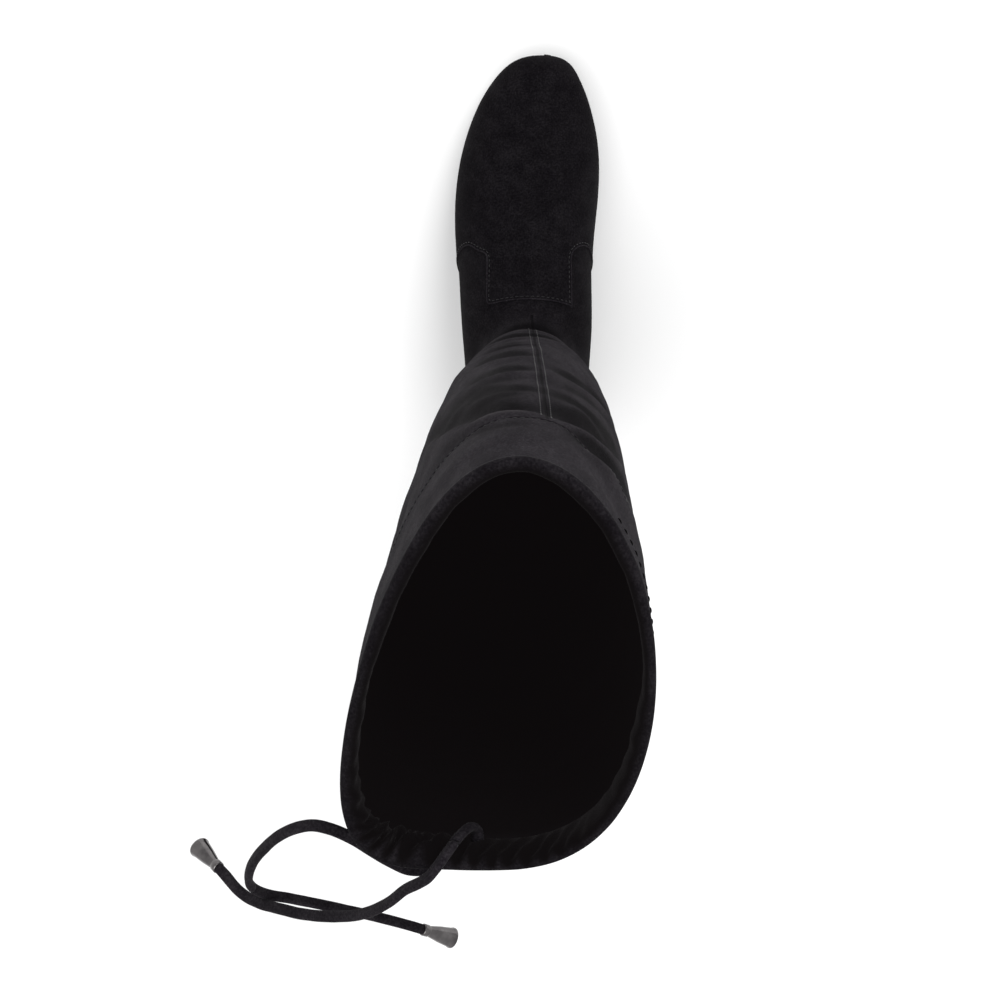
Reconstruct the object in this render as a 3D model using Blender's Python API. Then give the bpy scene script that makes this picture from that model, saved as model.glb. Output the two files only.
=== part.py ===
"""Tall left boot of soft black microsuede with a drawstring at the back of its collar.

Metres, +Z up, toe towards -Y, outer side of the foot towards +X, origin on the floor under the
middle of the upper. Lengths along the foot are called reach, from the heel's back to the toe.
Lengths across are called side, plus towards the outer side. Heights are called rise.
"""
import math
from collections import namedtuple

import bmesh
import bpy
from mathutils import Vector

# Driving dimensions
FOOT_LENGTH = 0.263
BALL_WIDTH = 0.090
INSTEP_RISE = 0.100
ANKLE_LENGTH = 0.108
ANKLE_WIDTH = 0.083
SHAFT_RISE = 0.540
COLLAR_DIP = 0.025
COLLAR_LENGTH = 0.179
COLLAR_WIDTH = 0.1195
HEEL_RISE = 0.028
HEEL_LENGTH = 0.060
TOE_SPRING = 0.011
WALL = 0.0018
OVERLAY_STEP = 0.0009
TAB_WIDTH = 0.050
BAND_DEPTH = 0.080
OUTSOLE_THICKNESS = 0.005
WAIST_THICKNESS = 0.004
OUTSOLE_RIB = 0.0008
RIB_DEPTH = 0.0020
RIB_SLOPE = 0.0003
GROOVE_PITCH = 0.0095
GROOVE_WIDTH = 0.0030
GROOVE_DEPTH = 0.0012
LIFT_THICKNESS = 0.005
LIFT_BEVEL = 0.0006
HEEL_TAPER = 0.0015
HEEL_FLARE = 0.0006
INSOLE_THICKNESS = 0.003
INSOLE_MARGIN = 0.0009
CORD_DIAMETER = 0.0046
TIP_LENGTH = 0.018
TIP_MOUTH_DIAMETER = 0.0100
TIP_WALL = 0.0005
TIP_SOCKET = 0.004
TIP_PLAY = 0.0004
GAP = 0.0003

# The foot's edge on the sole, a row for each section from the toe tip to the heel's back.
# reach is a share of FOOT_LENGTH, outer and inner are shares of BALL_WIDTH.
EdgeRow = namedtuple("EdgeRow", "reach outer inner")
EDGE_ROWS = [
    EdgeRow(0.990, -0.090, -0.090),
    EdgeRow(0.974, 0.062, -0.232),
    EdgeRow(0.930, 0.190, -0.315),
    EdgeRow(0.860, 0.318, -0.396),
    EdgeRow(0.770, 0.414, -0.446),
    EdgeRow(0.680, 0.456, -0.446),
    EdgeRow(0.600, 0.448, -0.412),
    EdgeRow(0.530, 0.412, -0.370),
    EdgeRow(0.425, 0.370, -0.332),
    EdgeRow(0.320, 0.350, -0.322),
    EdgeRow(0.220, 0.354, -0.340),
    EdgeRow(0.122, 0.348, -0.342),
    EdgeRow(0.050, 0.272, -0.268),
    EdgeRow(0.017, 0.140, -0.138),
    EdgeRow(0.010, 0.0, 0.0),
]

# The upper over the same rows: where the section's crest lies and how far its sides bulge.
# crest_reach is a share of FOOT_LENGTH, crest_rise of INSTEP_RISE, the sides of BALL_WIDTH.
# egg moves the widest place of a section towards its back.
FootRow = namedtuple("FootRow", "crest_reach crest_rise outer inner ridge egg_outer egg_inner")
FOOT_ROWS = [
    FootRow(0.990, 0.165, -0.090, -0.090, -0.090, 1.00, 1.00),
    FootRow(0.997, 0.275, 0.084, -0.254, -0.086, 1.00, 1.00),
    FootRow(0.972, 0.380, 0.218, -0.341, -0.066, 1.00, 1.00),
    FootRow(0.908, 0.462, 0.348, -0.424, -0.042, 1.00, 1.00),
    FootRow(0.812, 0.545, 0.446, -0.478, -0.020, 1.00, 1.00),
    FootRow(0.715, 0.632, 0.490, -0.484, -0.015, 1.00, 1.00),
    FootRow(0.635, 0.722, 0.497, -0.464, -0.015, 1.00, 1.00),
    FootRow(0.572, 0.808, 0.486, -0.446, -0.018, 1.00, 1.00),
    FootRow(0.522, 0.885, 0.470, -0.446, -0.018, 0.98, 0.98),
    FootRow(0.486, 0.948, 0.455, -0.446, -0.018, 0.95, 0.95),
    FootRow(0.463, 1.005, 0.438, -0.436, -0.018, 0.95, 0.95),
    FootRow(0.450, 1.062, 0.422, -0.420, -0.015, 1.00, 1.00),
    FootRow(0.444, 1.118, 0.412, -0.410, -0.012, 1.08, 1.08),
    FootRow(0.442, 1.165, 0.406, -0.404, -0.010, 1.14, 1.14),
    FootRow(0.441, 1.215, 0.404, -0.402, -0.008, 1.16, 1.16),
]

# The shaft, a row for each closed section from the heel counter up to the collar.
# The climbs are shares of the way up to the collar, at the back from the heel's edge and at the
# front from the last foot row. The leans and the spread are shares of the way from the ankle's
# place and width to the collar's. bulge is a share of FOOT_LENGTH, the counter's swell at the back.
ShaftRow = namedtuple(
    "ShaftRow", "back_climb front_climb bulge back_lean front_lean spread egg_outer egg_inner")
SHAFT_ROWS = [
    ShaftRow(0.040, 0.006, -0.039, 0.000, -0.040, -0.260, 1.16, 1.16),
    ShaftRow(0.078, 0.020, -0.041, 0.000, -0.040, -0.200, 1.12, 1.10),
    ShaftRow(0.127, 0.042, -0.026, 0.000, -0.025, -0.070, 1.05, 1.00),
    ShaftRow(0.188, 0.078, -0.007, 0.000, 0.010, 0.080, 0.98, 0.92),
    ShaftRow(0.260, 0.140, 0.000, 0.000, 0.090, 0.230, 0.96, 0.88),
    ShaftRow(0.373, 0.254, 0.000, 0.156, 0.270, 0.440, 1.04, 0.92),
    ShaftRow(0.538, 0.434, 0.000, 0.515, 0.500, 0.700, 1.30, 1.02),
    ShaftRow(0.712, 0.646, 0.000, 0.810, 0.730, 0.900, 1.66, 1.11),
    ShaftRow(0.877, 0.850, 0.000, 0.970, 0.890, 0.990, 2.02, 1.20),
    ShaftRow(1.000, 1.000, 0.000, 1.000, 1.000, 1.000, 2.25, 1.26),
]
ANKLE_BACK = 0.100      # of ANKLE_LENGTH, the narrowest ankle ahead of the heel's back
COLLAR_BACK = -0.106    # of COLLAR_LENGTH, the collar's back behind the heel's back
COLLAR_MIDDLE = 0.046   # of COLLAR_WIDTH, the collar's middle beside the foot's line
COLLAR_RIDGE = -0.050   # of COLLAR_WIDTH, the collar's foremost point beside its own middle
COLLAR_SEAM = 0.025     # of COLLAR_WIDTH, the collar's hindmost point beside its own middle

# The seam from the tab down to the sole. round is the share of the way from the sole's edge
# round to the crest, row is the row of the tables above that the seam has reached there.
SeamRow = namedtuple("SeamRow", "round row")
SEAM_ROWS = [
    SeamRow(0.00, 7.72),
    SeamRow(0.20, 7.50),
    SeamRow(0.36, 7.06),
    SeamRow(0.48, 6.74),
    SeamRow(0.58, 6.66),
    SeamRow(0.68, 6.92),
    SeamRow(1.00, 7.25),
]
SEAM_MIDDLE_ROW = 7.25
SEAM_SPREAD_ROWS = 2.0
TAB_TOP_ROW = 9.15
STEP_RUN = 0.0006       # how far an overlay's edge slopes before it meets the wall under it

# Where the grid's lines cross the rows, and how they are spread round each half section.
TOE_LINES = [0.0, 0.2, 0.5, 0.9, 1.4, 1.9, 2.4, 2.9, 3.5, 4.1, 4.7, 5.3, 5.9, 6.4, 6.85]
TAB_LINES = [7.75, 8.25, 8.7]
HEEL_LINES = [9.7, 10.3, 11.0, 11.6, 12.2, 12.7, 13.2, 13.6, 14.0]
SIDE_SHARES = [0.0, 0.09, 0.19, 0.30, 0.42, 0.55, 0.68, 0.80, 0.91, 1.0]
TOP_SHARES = [0.22, 0.46, 0.72, 1.0]
SHAFT_LINE_STEP = 0.5

# The sole's line, as shares of FOOT_LENGTH
ARCH_LEAD = 0.015
BALL_START = 0.590
SPRING_START = 0.760
TREAD_END = 0.930

# The tie's free ends, from where each leaves the collar to its metal tip
INNER_ROUTE = [
    (0.0080, 0.1365, 0.5000),
    (0.0085, 0.1320, 0.5000),
    (0.0110, 0.1285, 0.5040),
    (0.0150, 0.1285, 0.5120),
    (0.0195, 0.1320, 0.5190),
    (0.0240, 0.1375, 0.5220),
    (0.0285, 0.1435, 0.5200),
    (0.0370, 0.1530, 0.5110),
    (0.0460, 0.1645, 0.5030),
    (0.0570, 0.1755, 0.4920),
    (0.0700, 0.1845, 0.4790),
    (0.0850, 0.1925, 0.4640),
    (0.0980, 0.1975, 0.4510),
    (0.1100, 0.2020, 0.4380),
    (0.1200, 0.2030, 0.4270),
    (0.1285, 0.2000, 0.4170),
    (0.1345, 0.1980, 0.4100),
]
OUTER_ROUTE = [
    (0.0260, 0.1425, 0.4980),
    (0.0265, 0.1470, 0.4985),
    (0.0300, 0.1500, 0.4995),
    (0.0365, 0.1495, 0.5005),
    (0.0440, 0.1455, 0.5010),
    (0.0515, 0.1405, 0.5010),
    (0.0590, 0.1360, 0.5000),
    (0.0685, 0.1330, 0.4975),
    (0.0780, 0.1345, 0.4920),
    (0.0890, 0.1420, 0.4840),
    (0.0990, 0.1545, 0.4730),
    (0.1075, 0.1695, 0.4610),
    (0.1115, 0.1850, 0.4500),
    (0.1070, 0.1960, 0.4400),
    (0.0955, 0.2040, 0.4310),
    (0.0800, 0.2135, 0.4210),
    (0.0635, 0.2230, 0.4120),
    (0.0490, 0.2320, 0.4040),
    (0.0360, 0.2405, 0.3970),
]
ROUTE_POINTS = 26
TIP_SIDES = 24

SUEDE = (0.0100, 0.0092, 0.0104, 1.0)
SUEDE_INSIDE = (0.0060, 0.0050, 0.0056, 1.0)
RUBBER = (0.0090, 0.0088, 0.0092, 1.0)
GUNMETAL = (0.150, 0.142, 0.146, 1.0)

FOOT_LAST = len(FOOT_ROWS) - 1
TOP_ROW = FOOT_LAST + len(SHAFT_ROWS)


def mix(first, second, share):
    return first + (second - first) * share


def ease(value, start, end):
    share = min(max((value - start) / (end - start), 0.0), 1.0)
    return share * share * (3.0 - 2.0 * share)


def smooth_between(before, first, second, after, share):
    """A value on the smooth curve through four rows' values, between the middle two."""
    slope_first = (second - before) / 2.0
    slope_second = (after - first) / 2.0
    cube = share ** 3
    square = share ** 2
    return ((2 * cube - 3 * square + 1) * first + (cube - 2 * square + share) * slope_first
            + (3 * square - 2 * cube) * second + (cube - square) * slope_second)


def smooth_row(rows, at, before, after):
    """All columns of a table at a fractional row number, with one made-up row past each end."""
    index = min(max(int(at), 0), len(rows) - 2)
    padded = [before, *rows, after]
    columns = zip(*padded[index:index + 4])
    return [smooth_between(*column, at - index) for column in columns]


def mirrored(row):
    """The row past a round end: the same section with its sides swapped."""
    return EdgeRow(row.reach, row.inner, row.outer)


def past(end, neighbour):
    return [2.0 * a - b for a, b in zip(end, neighbour)]


def edge_at(row):
    """Reach and both sides of the foot's edge on the sole, in metres."""
    reach, outer, inner = smooth_row(
        EDGE_ROWS, row, mirrored(EDGE_ROWS[1]), mirrored(EDGE_ROWS[-2]))
    return reach * FOOT_LENGTH, outer * BALL_WIDTH, inner * BALL_WIDTH


def row_at_reach(reach):
    """The row number where the foot's edge has the given reach."""
    low = 0.0
    high = float(FOOT_LAST)
    for _ in range(40):
        middle = (low + high) / 2.0
        if edge_at(middle)[0] > reach:
            low = middle
        else:
            high = middle
    return (low + high) / 2.0


def sole_rise(reach):
    """Height of the outsole's upper face: seat, arch, flat forepart and toe spring."""
    seat_end = HEEL_LENGTH + ARCH_LEAD * FOOT_LENGTH
    ball = BALL_START * FOOT_LENGTH
    spring = SPRING_START * FOOT_LENGTH
    rise = mix(HEEL_RISE, OUTSOLE_THICKNESS, ease(reach, seat_end, ball))
    lifted = max(reach - spring, 0.0) / (FOOT_LENGTH - spring)
    return rise + TOE_SPRING * lifted ** 2


def sole_thickness(reach):
    return mix(WAIST_THICKNESS, OUTSOLE_THICKNESS, ease(reach, HEEL_LENGTH, BALL_START * FOOT_LENGTH))


def crest_rows():
    """Crest reach and rise, both sides, ridge and eggs of every section of the upper, in metres."""
    rows = []
    for row in FOOT_ROWS:
        rows.append([row.crest_reach * FOOT_LENGTH, row.crest_rise * INSTEP_RISE,
                     row.outer * BALL_WIDTH, row.inner * BALL_WIDTH, row.ridge * BALL_WIDTH,
                     row.egg_outer, row.egg_inner])
    foot_top = rows[-1][1]
    foot_ridge = rows[-1][4]
    ankle_front = (ANKLE_BACK + 1.0) * ANKLE_LENGTH
    collar_front = (COLLAR_BACK + 1.0) * COLLAR_LENGTH
    for row in SHAFT_ROWS:
        half = mix(ANKLE_WIDTH, COLLAR_WIDTH, row.spread) / 2.0
        middle = COLLAR_MIDDLE * COLLAR_WIDTH * row.spread ** 2
        ridge = mix(foot_ridge, (COLLAR_MIDDLE + COLLAR_RIDGE) * COLLAR_WIDTH, row.spread)
        rows.append([mix(ankle_front, collar_front, row.front_lean),
                     mix(foot_top, SHAFT_RISE, row.front_climb),
                     middle + half, middle - half, ridge, row.egg_outer, row.egg_inner])
    return rows


def back_rows():
    """Reach, rise and side of the back seam, from the heel's edge up to the collar."""
    heel_reach, heel_side, _ = edge_at(FOOT_LAST)
    heel_rise = sole_rise(heel_reach) + GAP
    rows = [[heel_reach, heel_rise, heel_side]]
    for row in SHAFT_ROWS:
        place = mix(ANKLE_BACK * ANKLE_LENGTH, COLLAR_BACK * COLLAR_LENGTH, row.back_lean)
        rows.append([place + row.bulge * FOOT_LENGTH,
                     mix(heel_rise, SHAFT_RISE - COLLAR_DIP, row.back_climb),
                     (COLLAR_MIDDLE + COLLAR_SEAM) * COLLAR_WIDTH * row.spread ** 2])
    return rows


CREST_ROWS = crest_rows()
BACK_ROWS = back_rows()
Section = namedtuple("Section", "base_reach base_rise base_side edge_outer edge_inner"
                                " crest_reach crest_rise outer inner ridge egg_outer egg_inner")


def section_at(row):
    """One section of the upper, from its foot on the sole or back seam to its crest."""
    first = CREST_ROWS[0]
    second = CREST_ROWS[1]
    before = past(first, second)
    before[2:5] = [second[3], second[2], second[4]]
    crest = smooth_row(CREST_ROWS, row, before, past(CREST_ROWS[-1], CREST_ROWS[-2]))
    if row <= FOOT_LAST:
        reach, outer, inner = edge_at(row)
        base = [reach, sole_rise(reach) + GAP, (outer + inner) / 2.0, outer, inner]
    else:
        back = smooth_row(BACK_ROWS, row - FOOT_LAST, past(BACK_ROWS[0], BACK_ROWS[1]),
                          past(BACK_ROWS[-1], BACK_ROWS[-2]))
        base = [*back, back[2], back[2]]
    return Section(*base, *crest)


def half_shape(section, on_outer):
    """Width, start angle and egg of one half of a section."""
    middle = (section.base_side + section.ridge) / 2.0
    if on_outer:
        width = section.outer - middle
        edge = section.edge_outer - section.base_side
        egg = section.egg_outer
    else:
        width = middle - section.inner
        edge = section.base_side - section.edge_inner
        egg = section.egg_inner
    if width < 1e-7:
        return 0.0, 0.0, egg
    return width, math.asin(min(max(edge / width, 0.0), 1.0)), egg


def upper_point(row, around, on_outer):
    """A point of the plain outer surface; around runs from 0 at the foot to 1 at the crest."""
    section = section_at(row)
    if row == 0.0:
        return Vector((section.base_side, -section.base_reach, section.base_rise))
    width, start, egg = half_shape(section, on_outer)
    angle = mix(start, math.pi, around)
    begun = ((1.0 - math.cos(start)) / 2.0) ** egg
    share = (((1.0 - math.cos(angle)) / 2.0) ** egg - begun) / (1.0 - begun)
    sign = 1.0 if on_outer else -1.0
    side = mix(section.base_side, section.ridge, share) + sign * width * math.sin(angle)
    return Vector((side, -mix(section.base_reach, section.crest_reach, share),
                   mix(section.base_rise, section.crest_rise, share)))


def upper_normal(row, around, on_outer):
    """The outward direction of the plain surface, from its slopes along and around."""
    if row == 0.0:
        return Vector((0.0, -1.0, 0.0))
    nudge = 0.004
    along = (upper_point(min(row + nudge, TOP_ROW), around, on_outer)
             - upper_point(max(row - nudge, 0.0), around, on_outer))
    round_it = (upper_point(row, min(around + nudge, 1.0), on_outer)
                - upper_point(row, max(around - nudge, 0.0), on_outer))
    normal = along.cross(round_it).normalized()
    return normal if on_outer else -normal


def tab_around(row, on_outer):
    """How far round a section the tab's side edge lies."""
    section = section_at(min(max(row, SEAM_MIDDLE_ROW), TAB_TOP_ROW))
    width, start, _ = half_shape(section, on_outer)
    angle = math.pi - math.asin(min(TAB_WIDTH / 2.0 / width, 0.9))
    return (angle - start) / (math.pi - start)


def seam_row(around):
    """The row that the seam between vamp and quarter has reached."""
    for lower, upper in zip(SEAM_ROWS, SEAM_ROWS[1:]):
        if around <= upper.round:
            share = (around - lower.round) / (upper.round - lower.round)
            return mix(lower.row, upper.row, ease(share, 0.0, 1.0))
    return SEAM_ROWS[-1].row


def step_rows(row):
    """The rows that an overlay's edge takes to slope down to the wall."""
    probe = 0.05
    ahead = section_at(row + probe)
    here = section_at(row)
    run = math.dist((ahead.crest_reach, ahead.crest_rise), (here.crest_reach, here.crest_rise))
    return STEP_RUN * probe / run


def band_row():
    """The row where the collar's band begins."""
    low = float(FOOT_LAST)
    high = float(TOP_ROW)
    for _ in range(40):
        middle = (low + high) / 2.0
        if section_at(middle).crest_rise < SHAFT_RISE - BAND_DEPTH:
            low = middle
        else:
            high = middle
    return (low + high) / 2.0


def grid_lines():
    """Rows of the grid's lines, with a flag for what each line's points are raised by."""
    lines = [(row, "vamp") for row in TOE_LINES]
    lines.append((SEAM_MIDDLE_ROW, "vamp"))
    lines.append((SEAM_MIDDLE_ROW + step_rows(SEAM_MIDDLE_ROW), "tab"))
    lines += [(row, "tab") for row in TAB_LINES]
    lines.append((TAB_TOP_ROW, "tab"))
    lines.append((TAB_TOP_ROW + step_rows(TAB_TOP_ROW), "plain"))
    lines += [(row, "plain") for row in HEEL_LINES]
    band = band_row()
    row = FOOT_LAST + SHAFT_LINE_STEP
    while row < band - SHAFT_LINE_STEP / 3.0:
        lines.append((row, "plain"))
        row += SHAFT_LINE_STEP
    lines.append((band - step_rows(band), "plain"))
    lines.append((band, "band"))
    spans = max(round((TOP_ROW - band) / SHAFT_LINE_STEP), 2)
    lines += [(mix(band, TOP_ROW, k / spans), "band") for k in range(1, spans + 1)]
    return lines


def half_columns(row, on_outer):
    """Places round one half section, with a flag for those on the tab."""
    tab = tab_around(row, on_outer)
    section = section_at(min(max(row, SEAM_MIDDLE_ROW), TAB_TOP_ROW))
    width, start, _ = half_shape(section, on_outer)
    foot_of_step = tab - STEP_RUN / (width * (math.pi - start))
    columns = [(share * foot_of_step, False) for share in SIDE_SHARES]
    columns.append((tab, True))
    columns += [(mix(tab, 1.0, share), True) for share in TOP_SHARES]
    return columns


def upper_line(row, kind):
    """Outer and inner points of one line of the grid, from the inner side round to the outer."""
    outer_points = []
    inner_points = []
    pull = max(0.0, 1.0 - abs(row - SEAM_MIDDLE_ROW) / SEAM_SPREAD_ROWS)
    inner_half = [(around, on_tab, False) for around, on_tab in half_columns(row, False)]
    outer_half = [(around, on_tab, True) for around, on_tab in half_columns(row, True)]
    for around, on_tab, on_outer in inner_half + outer_half[-2::-1]:
        warped = row + (seam_row(around) - SEAM_MIDDLE_ROW) * pull
        point = upper_point(warped, around, on_outer)
        normal = upper_normal(warped, around, on_outer)
        raised = kind in ("vamp", "band") or (kind == "tab" and on_tab)
        outer = point + normal * (OVERLAY_STEP if raised else 0.0)
        inner = point - normal * WALL
        if around == 0.0 and 0.0 < row <= FOOT_LAST:
            outer.z = sole_rise(-outer.y) + GAP
            inner.z = sole_rise(-inner.y) + GAP
        outer_points.append(outer)
        inner_points.append(inner)
    if row >= FOOT_LAST:
        for points in (outer_points, inner_points):
            points[0] = (points[0] + points[-1]) / 2.0
            points[-1] = points[0].copy()
    return outer_points, inner_points


def upper_grid():
    lines = [upper_line(row, kind) for row, kind in grid_lines()]
    return [line[0] for line in lines], [line[1] for line in lines]


def middle_of(grid):
    """The middle of the upper's box, seen from above."""
    sides = [point.x for line in grid for point in line]
    reaches = [point.y for line in grid for point in line]
    return Vector(((min(sides) + max(sides)) / 2.0, (min(reaches) + max(reaches)) / 2.0, 0.0))


def add_object(name, vertices, faces, colour, roughness, metallic=0.0):
    """A closed mesh object with merged points, outward faces, smooth shading and a material."""
    mesh = bpy.data.meshes.new(name)
    mesh.from_pydata(vertices, [], faces)
    work = bmesh.new()
    work.from_mesh(mesh)
    bmesh.ops.remove_doubles(work, verts=work.verts, dist=1e-6)
    bmesh.ops.recalc_face_normals(work, faces=work.faces)
    work.to_mesh(mesh)
    work.free()
    mesh.shade_smooth()
    mesh.set_sharp_from_angle(angle=math.radians(38))
    item = bpy.data.objects.new(name, mesh)
    bpy.context.collection.objects.link(item)
    item.data.materials.append(make_material(name, colour, roughness, metallic))
    return item


def make_material(name, colour, roughness, metallic):
    material = bpy.data.materials.new(name)
    material.use_nodes = True
    shader = material.node_tree.nodes["Principled BSDF"]
    shader.inputs["Base Color"].default_value = colour
    shader.inputs["Roughness"].default_value = roughness
    shader.inputs["Metallic"].default_value = metallic
    return material


def add_upper(outer, inner, origin):
    """The hollow wall: outer and inner grids joined along the mouth on the sole and the collar."""
    count = len(outer[0])
    vertices = [point - origin for line in outer + inner for point in line]
    inside = len(outer) * count
    faces = []
    for i in range(len(outer) - 1):
        for j in range(count - 1):
            a = i * count + j
            faces.append((a, a + 1, a + 1 + count, a + count))
            faces.append((inside + a, inside + a + count, inside + a + 1 + count, inside + a + 1))
    foot_lines = sum(1 for row, _ in grid_lines() if row <= FOOT_LAST)
    for i in range(foot_lines - 1):
        for j in (0, count - 1):
            a = i * count + j
            faces.append((a, a + count, inside + a + count, inside + a))
    top = (len(outer) - 1) * count
    for j in range(count - 1):
        a = top + j
        faces.append((a, a + 1, inside + a + 1, inside + a))
    return add_object("upper", vertices, faces, SUEDE, 0.92)


def edge_direction(row, on_outer):
    """The outward direction of the foot's edge in plan, as reach and side."""
    nudge = 0.01
    index = 1 if on_outer else 2
    ahead = edge_at(max(row - nudge, 0.0))
    behind = edge_at(min(row + nudge, FOOT_LAST))
    along = Vector((ahead[0] - behind[0], ahead[index] - behind[index])).normalized()
    return Vector((-along.y, along.x)) if on_outer else Vector((along.y, -along.x))


def ring_points(rows, inset, rise):
    """The foot's edge moved in by inset: outer side points, then inner side points, toe first."""
    halves = []
    for on_outer in (True, False):
        points = []
        for row in rows:
            reach, outer, inner = edge_at(row)
            if row == 0.0:
                away = Vector((1.0, 0.0))
            elif row == FOOT_LAST:
                away = Vector((-1.0, 0.0))
            else:
                away = edge_direction(row, on_outer)
            side = outer if on_outer else inner
            reach -= away.x * inset
            points.append(Vector((side - away.y * inset, -reach, rise(reach))))
        halves.append(points)
    return halves


def add_slab(name, rings, origin, colour, roughness):
    """A solid from stacked rings, each of two half rings, closed above and below by cross strips."""
    count = len(rings[0][0])
    loop = 2 * count
    vertices = []
    for outer_half, inner_half in rings:
        vertices += [point - origin for point in outer_half + inner_half[::-1]]
    faces = []
    for k in range(len(rings) - 1):
        for j in range(loop):
            a = k * loop + j
            b = k * loop + (j + 1) % loop
            faces.append((a, b, b + loop, a + loop))
    last = (len(rings) - 1) * loop
    for j in range(count - 1):
        other = loop - 1 - j
        faces.append((j, j + 1, other - 1, other))
        faces.append((last + j, last + other, last + other - 1, last + j + 1))
    return add_object(name, vertices, faces, colour, roughness)


def groove_lift(reach):
    """How far the tread is cut up at this reach: cross grooves under the ball and forepart."""
    start = BALL_START * FOOT_LENGTH
    end = TREAD_END * FOOT_LENGTH
    if not start < reach < end:
        return 0.0
    within = (reach - start) % GROOVE_PITCH
    draft = GROOVE_WIDTH / 8.0
    if draft <= within + 1e-6 and within - 1e-6 <= GROOVE_WIDTH - draft:
        return GROOVE_DEPTH
    return 0.0


def outsole_rows():
    """Rows of the outsole's sections, with four for each groove."""
    rows = [row / 3.0 for row in range(0, 3 * FOOT_LAST + 1)]
    start = BALL_START * FOOT_LENGTH
    draft = GROOVE_WIDTH / 8.0
    groove_rows = []
    while start + GROOVE_WIDTH < TREAD_END * FOOT_LENGTH:
        for step in (0.0, draft, GROOVE_WIDTH - draft, GROOVE_WIDTH):
            groove_rows.append(row_at_reach(start + step))
        start += GROOVE_PITCH
    kept = [row for row in rows if all(abs(row - other) > 0.06 for other in groove_rows)]
    return sorted(kept + groove_rows)


def add_outsole(origin):
    """Outsole with a raised rib along its upper side, arch, toe spring and grooved tread."""
    rows = outsole_rows()
    lower_side = OUTSOLE_RIB / 3.0

    def below(drop):
        return lambda reach: sole_rise(reach) - drop

    def tread(reach):
        return sole_rise(reach) - sole_thickness(reach)

    top = ring_points(rows, -OUTSOLE_RIB, sole_rise)
    rib = ring_points(rows, -OUTSOLE_RIB, below(RIB_DEPTH))
    waist = ring_points(rows, -lower_side, below(RIB_DEPTH + RIB_SLOPE))
    foot = ring_points(rows, 0.0, tread)
    for half in foot:
        for row, point in zip(rows, half):
            point.z += groove_lift(edge_at(row)[0])
    return add_slab("outsole", [top, rib, waist, foot], origin, RUBBER, 0.72)


def heel_rows(length):
    front = row_at_reach(length)
    return [mix(front, FOOT_LAST, k / 12.0) for k in range(13)]


def level(rise):
    return lambda reach: rise


def add_heel(origin):
    """Low block under the seat, a little smaller at its foot."""
    rows = heel_rows(HEEL_LENGTH)
    top = HEEL_RISE - WAIST_THICKNESS - GAP
    bottom = LIFT_THICKNESS + GAP
    rings = [ring_points(rows, 0.0, level(top)),
             ring_points(rows, HEEL_FLARE, level(mix(top, bottom, 0.5))),
             ring_points(rows, HEEL_TAPER, level(bottom))]
    return add_slab("heel", rings, origin, SUEDE, 0.92)


def add_heel_lift(origin):
    """Rubber lift under the block, with a small bevel at the floor."""
    rows = heel_rows(HEEL_LENGTH)
    rings = [ring_points(rows, HEEL_TAPER, level(LIFT_THICKNESS)),
             ring_points(rows, HEEL_TAPER, level(LIFT_BEVEL)),
             ring_points(rows, HEEL_TAPER + LIFT_BEVEL, level(0.0))]
    return add_slab("heel_top_lift", rings, origin, RUBBER, 0.7)


def add_insole(origin):
    """Footbed that lies on the outsole inside the wall."""
    rows = [row / 2.0 for row in range(0, 2 * FOOT_LAST + 1)]
    inset = WALL + INSOLE_MARGIN
    rings = [ring_points(rows, inset, lambda reach: sole_rise(reach) + GAP + INSOLE_THICKNESS),
             ring_points(rows, inset, lambda reach: sole_rise(reach) + GAP)]
    return add_slab("insole", rings, origin, SUEDE_INSIDE, 0.85)


def route_curve(route):
    """Points at even spacing on the smooth curve through a route's own points."""
    points = [Vector(point) for point in route]
    before = points[0] * 2.0 - points[1]
    after = points[-1] * 2.0 - points[-2]
    padded = [before, *points, after]
    fine = []
    for k in range(len(points) - 1):
        for step in range(20):
            fine.append(smooth_between(*padded[k:k + 4], step / 20.0))
    fine.append(points[-1])
    walked = [0.0]
    for a, b in zip(fine, fine[1:]):
        walked.append(walked[-1] + (b - a).length)
    placed = []
    for k in range(ROUTE_POINTS):
        target = walked[-1] * k / (ROUTE_POINTS - 1)
        index = next(i for i in range(1, len(walked)) if walked[i] >= target - 1e-9)
        share = (target - walked[index - 1]) / (walked[index] - walked[index - 1])
        placed.append(fine[index - 1].lerp(fine[index], share))
    return placed


def add_cord(name, points):
    """One free end of the suede tie."""
    curve = bpy.data.curves.new(name, "CURVE")
    curve.dimensions = "3D"
    curve.bevel_depth = CORD_DIAMETER / 2.0
    curve.bevel_resolution = 2
    curve.use_fill_caps = True
    spline = curve.splines.new("POLY")
    spline.points.add(len(points) - 1)
    for target, point in zip(spline.points, points):
        target.co = (*point, 1.0)
    item = bpy.data.objects.new(name, curve)
    bpy.context.collection.objects.link(item)
    item.data.materials.append(make_material(name, SUEDE, 0.9, 0.0))
    return item


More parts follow.
